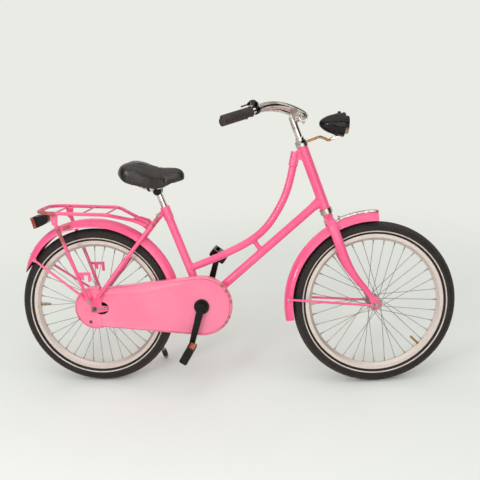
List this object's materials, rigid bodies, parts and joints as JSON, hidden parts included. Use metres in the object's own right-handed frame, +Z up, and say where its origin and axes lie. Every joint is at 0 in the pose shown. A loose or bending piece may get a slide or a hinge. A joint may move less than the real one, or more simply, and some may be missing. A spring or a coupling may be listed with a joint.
{
  "type": "child bicycle",
  "caption": "Child's step-through bicycle with a swept frame, closed chain case, mudguards, luggage rack, lamps, coaster brake and side stand; wheels, steering, cranks, pedals and stand move.",
  "frame": {"origin": "on the floor under the middle of the parked bicycle's bounding box", "axes": "+X the way it rides, +Y to the rider's left, +Z up; it leans to +Y on its side stand"},
  "size_m": [1.4982, 0.5592, 0.9822],
  "materials": {
    "pink_paint": "glossy pink enamel, worn in places",
    "chain_case_paint": "glossy lighter pink enamel",
    "bright_aluminium": "polished aluminium",
    "spoke_steel": "drawn steel wire",
    "tyre_rubber": "black rubber with a pale reflective line",
    "chrome_plate": "bright chrome plate, slightly rusted",
    "zinc_steel": "zinc-plated steel",
    "black_alloy": "satin black paint",
    "black_plastic": "black moulded plastic",
    "grip_rubber": "matt black rubber",
    "saddle_vinyl": "black vinyl over foam",
    "red_lens": "red ribbed lens",
    "clear_lens": "clear ribbed lens",
    "amber_reflector": "amber reflector"
  },
  "bodies": {
    "frame": {"head_tube": "pink_paint", "down_tube": "pink_paint", "bottom_bracket_shell": "pink_paint", "seat_tube": "pink_paint", "top_tube": "pink_paint", "tube_bridge": "pink_paint", "seat_lug": "pink_paint", "seat_stays": "pink_paint", "chain_stays": "pink_paint", "rear_dropouts": "pink_paint", "rear_axle": "zinc_steel", "rear_mudguard": "pink_paint", "rear_mudguard_stays": "pink_paint", "chain_case": "chain_case_paint", "chain_case_cap": "chain_case_paint", "headset_cups": "chrome_plate", "seat_post": "chrome_plate", "saddle": "saddle_vinyl", "saddle_frame": "zinc_steel", "rack_frame": "pink_paint", "rack_legs": "pink_paint", "pannier_hooks": "pink_paint", "rack_front_plates": "pink_paint", "rear_lamp_housing": "black_plastic", "rear_lamp_lens": "red_lens", "stand_bracket": "zinc_steel", "brake_arm": "zinc_steel"},
    "rear_wheel": {"rear_tyre": "tyre_rubber", "rear_rim": "bright_aluminium", "rear_hub": "bright_aluminium", "rear_spokes": "spoke_steel"},
    "fork": {"front_axle": "zinc_steel", "fork_crown": "pink_paint", "fork_blades": "pink_paint", "headset_locknut": "chrome_plate", "stem": "chrome_plate", "handlebar": "chrome_plate", "grips": "grip_rubber", "bell": "black_plastic", "headlamp_bracket": "chrome_plate", "headlamp_shell": "black_plastic", "headlamp_lens": "clear_lens", "front_mudguard": "pink_paint", "front_mudguard_stays": "pink_paint", "front_mudguard_trim": "chrome_plate"},
    "front_wheel": {"front_tyre": "tyre_rubber", "front_rim": "bright_aluminium", "front_hub": "bright_aluminium", "front_spokes": "spoke_steel"},
    "crankset": {"crank_spindle": "zinc_steel", "crank_right": "black_alloy", "crank_left": "black_alloy", "chain_case_disc": "black_plastic"},
    "pedal_right": {"pedal_right": "black_plastic", "pedal_right_reflectors": "amber_reflector"},
    "pedal_left": {"pedal_left": "black_plastic", "pedal_left_reflectors": "amber_reflector"},
    "stand": {"stand_leg": "chrome_plate"}
  },
  "joints": [
    {"name": "rear_wheel_spin", "type": "hinge", "parent": "frame", "child": "rear_wheel", "pos_m": [-0.4762, -0.06757, 0.26992], "axis": [-0.0001, 0.9877, -0.1564], "continuous": true},
    {"name": "steering", "type": "hinge", "parent": "frame", "child": "fork", "pos_m": [0.28353, -0.00109, 0.68898], "axis": [-0.328, 0.1477, 0.933], "range_deg": [-78, 62]},
    {"name": "front_wheel_spin", "type": "hinge", "parent": "fork", "child": "front_wheel", "pos_m": [0.47838, -0.06141, 0.26794], "axis": [-0.1316, 0.9709, -0.2], "continuous": true},
    {"name": "crank_spin", "type": "hinge", "parent": "frame", "child": "crankset", "pos_m": [-0.1008, -0.06687, 0.27403], "axis": [-0.0001, 0.9877, -0.1564], "continuous": true},
    {"name": "right_pedal_spin", "type": "hinge", "parent": "crankset", "child": "pedal_right", "pos_m": [-0.14409, -0.16967, 0.14279], "axis": [-0.0001, 0.9877, -0.1564], "continuous": true},
    {"name": "left_pedal_spin", "type": "hinge", "parent": "crankset", "child": "pedal_left", "pos_m": [-0.05751, 0.03594, 0.40527], "axis": [-0.0001, 0.9877, -0.1564], "continuous": true},
    {"name": "stand_fold", "type": "hinge", "parent": "frame", "child": "stand", "pos_m": [-0.31124, -0.01857, 0.22759], "axis": [-0.3037, 0.9525, 0.0232], "range_deg": [0, 88.4]}
  ]
}
